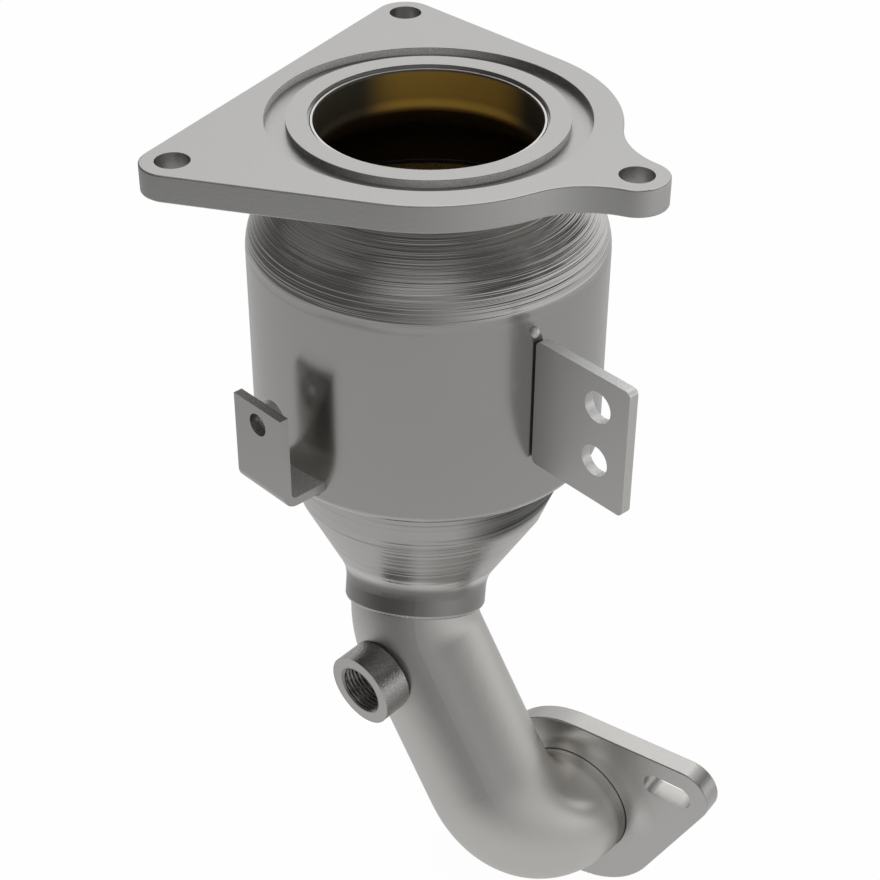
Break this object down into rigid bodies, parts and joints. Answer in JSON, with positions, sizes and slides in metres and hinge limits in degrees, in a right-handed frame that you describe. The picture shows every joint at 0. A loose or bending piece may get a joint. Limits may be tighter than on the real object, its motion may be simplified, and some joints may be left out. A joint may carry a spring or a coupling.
{
  "type": "catalytic converter",
  "caption": "Exhaust catalytic converter with a triangular manifold flange, spun can, offset outlet cone, bent pipe with sensor bung, slotted flange and side brackets.",
  "frame": {"origin": "centre of the inlet bore, on the mating face of the inlet flange", "axes": "+Z out of the inlet along the can's axis, +X towards the right-hand stud hole's side, +Y towards the back stud hole"},
  "size_m": [0.1889, 0.1707, 0.2971],
  "materials": {
    "flange_steel": "blanked plate, fine grain",
    "can_steel": "spun stainless sheet, satin, tool rings on the shoulder and cone",
    "liner_steel": "stainless sheet with a straw heat tint",
    "pipe_steel": "drawn stainless tube, satin",
    "bung_steel": "turned, slightly rough",
    "bracket_steel": "sheared sheet, satin",
    "nut_steel": "plain",
    "weld_metal": "rippled bead",
    "coated_brick": "ceramic honeycomb with a metal wash coat",
    "mat_fibre": "pressed fibre mat",
    "seal_mesh": "knitted wire"
  },
  "bodies": {
    "root": {"inlet_flange": "flange_steel", "body_shell": "can_steel", "inlet_liner": "liner_steel", "catalyst_brick": "coated_brick", "support_mat": "mat_fibre", "inlet_mesh_seal": "seal_mesh", "outlet_mesh_seal": "seal_mesh", "outlet_pipe": "pipe_steel", "outlet_flange": "flange_steel", "sensor_bung": "bung_steel", "angle_bracket": "bracket_steel", "weld_nut": "nut_steel", "flat_bracket": "bracket_steel", "inlet_weld": "weld_metal", "neck_weld": "weld_metal", "outlet_weld": "weld_metal", "flat_bracket_weld": "weld_metal", "angle_bracket_weld": "weld_metal"}
  },
  "joints": []
}
